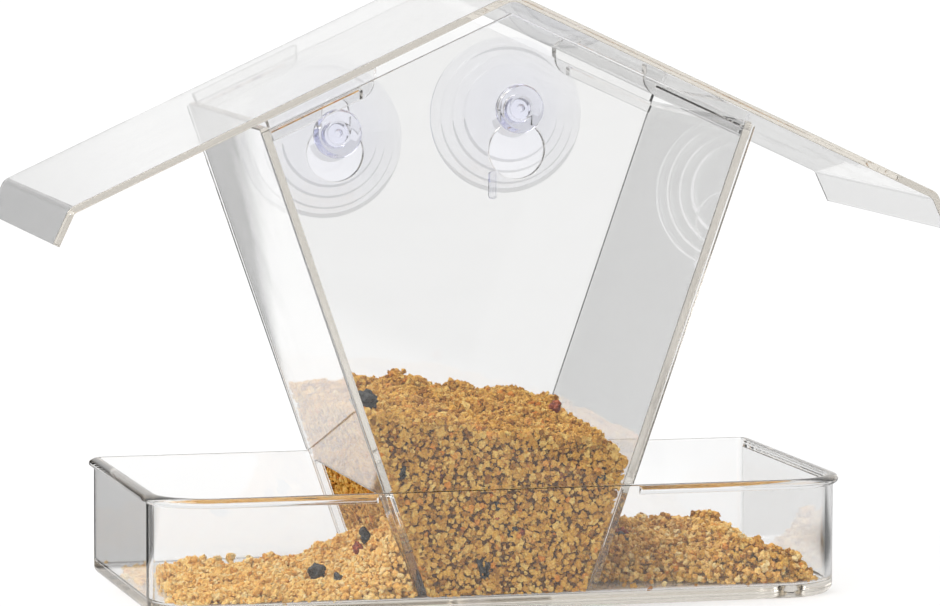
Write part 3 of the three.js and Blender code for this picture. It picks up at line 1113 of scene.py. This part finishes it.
# To the camera the floor and the room are plain. Rays reflected once see painted greys of their own in
# them, and rays through plastic see a painted dark strip beside the tray. Both were tuned for
# the photo's viewing angle, and are less apt from others.
FLOOR_HALF = 30.0
FLOOR_LEVELS = (-20, -0.05)  # millimetres: its underside and its top, just under the tray
FLOOR_GREY = (0.74, 0.75)
# Painted reflection: what reflections show of the floor, by x / y from -0.6 to 0: share of the way and
# grey.
PANEL_DIRECTIONS = (-0.6, 0)
PANEL_GREYS = ((0.12, 0.1), (0.165, 0.69), (0.588, 0.69), (0.615, 0.13), (0.8, 0.3))
# Painted reflection and painted shade: the greys that reflections see of the floor, and the dark strip
# beside the tray.
EVEN_GREY = 0.45
UNDER_GREY = 0.6
BESIDE_TRAY_GREY = 0.07

ROOM_GREY = 0.85
# Painted reflection: greys of the room that only rays reflected once see.
REFLECTED_WALL_GREY = 0.9
CEILING_GREY = 0.95
DIM_PATCH_TOWARDS = (-0.27, 0.96, 0.05)
DIM_PATCH_GREY = 0.03

CAMERA_PLACE = (-0.3664, -1.3684, 0.2223)
CAMERA_TURN = 15.04  # degrees
CAMERA_TILT = 5.78
CAMERA_ROLL = 0.19
LENS = 196.4  # millimetres, as is the sensor
SENSOR_WIDTH = 36
BOUNCES = 32


def grey_ramp(n, fac, stops):
    return n.ramp(fac, [(place, (grey, grey, grey)) for place, grey in stops])


def seen_in_reflection(n):
    """1 for a ray reflected just once on its way here, otherwise 0."""
    return n.calc("COMPARE", n.add("ShaderNodeLightPath").outputs["Glossy Depth"], 1, 0.5)


def make_floor():
    """A wide white floor, which reflections show with painted grey and dark panels."""
    size = FLOOR_HALF / MM
    corners = ((-size, -size), (size, -size), (size, size), (-size, size))
    floor = loft("studio_floor", [[(x, y, z) for x, y in corners] for z in FLOOR_LEVELS])
    n = Nodes("studio floor")
    where = n.coords()
    mottle = grey_ramp(n, n.noise(where, 6, detail=2), zip((0.3, 0.7), FLOOR_GREY))
    split = n.add("ShaderNodeSeparateXYZ")
    n.link(where, split.inputs[0])
    x, y = split.outputs["X"], split.outputs["Y"]
    direction = n.remap(n.calc("DIVIDE", x, y), *PANEL_DIRECTIONS, 0, 1)
    panels = grey_ramp(n, direction, PANEL_GREYS)
    # To the right and in front the reflected floor is an even grey, and under the tray a lighter one.
    reflected = n.blend(n.remap(x, 0.1, 0.115, 0, 1), panels, EVEN_GREY)
    reflected = n.blend(n.remap(y, -0.045, -0.03, 1, 0), reflected, EVEN_GREY)
    underneath = n.calc("MULTIPLY", n.remap(x, 0.097, 0.1, 1, 0), n.remap(y, 0.05, 0.055, 1, 0))
    reflected = n.blend(underneath, reflected, UNDER_GREY)
    seen = n.blend(seen_in_reflection(n), mottle, reflected)
    # Painted shade: rays that have passed through plastic find the floor painted dark just to the right
    # of the tray.
    depth = n.add("ShaderNodeLightPath").outputs["Transmission Depth"]
    beside = n.calc("MULTIPLY", n.remap(x, 0.12, 0.15, 0, 1), n.remap(y, 0.04, 0.09, 1, 0))
    bent_beside = n.calc("MULTIPLY", n.calc("GREATER_THAN", depth, 0.5), beside)
    surface = n.add("ShaderNodeBsdfDiffuse")
    n.link(n.blend(bent_beside, seen, BESIDE_TRAY_GREY), surface.inputs["Color"])
    n.link(surface.outputs[0], n.output.inputs["Surface"])
    floor.data.materials.append(n.owner)


def make_world():
    """A pale room. In reflections it shows painted greys: the ceiling is brightest and one patch far
    back is dim.
    """
    n = Nodes("room", "World")
    direction = n.add("ShaderNodeTexCoord").outputs["Generated"]
    towards = n.add("ShaderNodeVectorMath", operation="DOT_PRODUCT")
    n.link(direction, towards.inputs[0])
    towards.inputs[1].default_value = Vector(DIM_PATCH_TOWARDS).normalized()
    split = n.add("ShaderNodeSeparateXYZ")
    n.link(direction, split.inputs[0])
    ceiling = n.remap(split.outputs["Z"], 0.25, 0.6, 0, 1)
    into_patch = n.remap(towards.outputs["Value"], 0.93, 0.98, 0, 1)
    walls = grey_ramp(n, into_patch, ((0, REFLECTED_WALL_GREY), (1, DIM_PATCH_GREY)))
    reflected = n.blend(ceiling, walls, CEILING_GREY)
    background = n.add("ShaderNodeBackground")
    n.link(n.blend(seen_in_reflection(n), ROOM_GREY, reflected), background.inputs["Color"])
    n.link(background.outputs[0], n.output.inputs["Surface"])
    bpy.context.scene.world = n.owner


def sun(name, strength, spread, azimuth, elevation):
    """A wide soft source; azimuth is measured from -Y towards +X. Angles are in degrees."""
    light = bpy.data.lights.new(name, "SUN")
    light.energy = strength
    light.angle = math.radians(spread)
    obj = bpy.data.objects.new(name, light)
    a, e = math.radians(azimuth), math.radians(elevation)
    towards = Vector((math.sin(a) * math.cos(e), -math.cos(a) * math.cos(e), math.sin(e)))
    obj.rotation_euler = towards.to_track_quat("Z", "Y").to_euler()
    bpy.context.collection.objects.link(obj)


def make_camera():
    """A long lens to the left of the feeder, higher than its roof."""
    camera = bpy.data.cameras.new("camera")
    camera.lens = LENS
    camera.sensor_width = SENSOR_WIDTH
    obj = bpy.data.objects.new("camera", camera)
    turn = Matrix.Rotation(-math.radians(CAMERA_TURN), 4, "Z")
    tilt = Matrix.Rotation(math.pi / 2 - math.radians(CAMERA_TILT), 4, "X")
    roll = Matrix.Rotation(math.radians(CAMERA_ROLL), 4, "Z")
    obj.matrix_world = Matrix.Translation(CAMERA_PLACE) @ turn @ tilt @ roll
    bpy.context.collection.objects.link(obj)
    bpy.context.scene.camera = obj


make_floor()
make_world()
sun("key", strength=2.2, spread=45, azimuth=-80, elevation=54)
sun("fill", strength=0.12, spread=80, azimuth=60, elevation=40)
make_camera()
scene = bpy.context.scene
scene.view_settings.view_transform = "Standard"
scene.cycles.max_bounces = BOUNCES
scene.cycles.glossy_bounces = BOUNCES
scene.cycles.transmission_bounces = BOUNCES
scene.cycles.transparent_max_bounces = BOUNCES
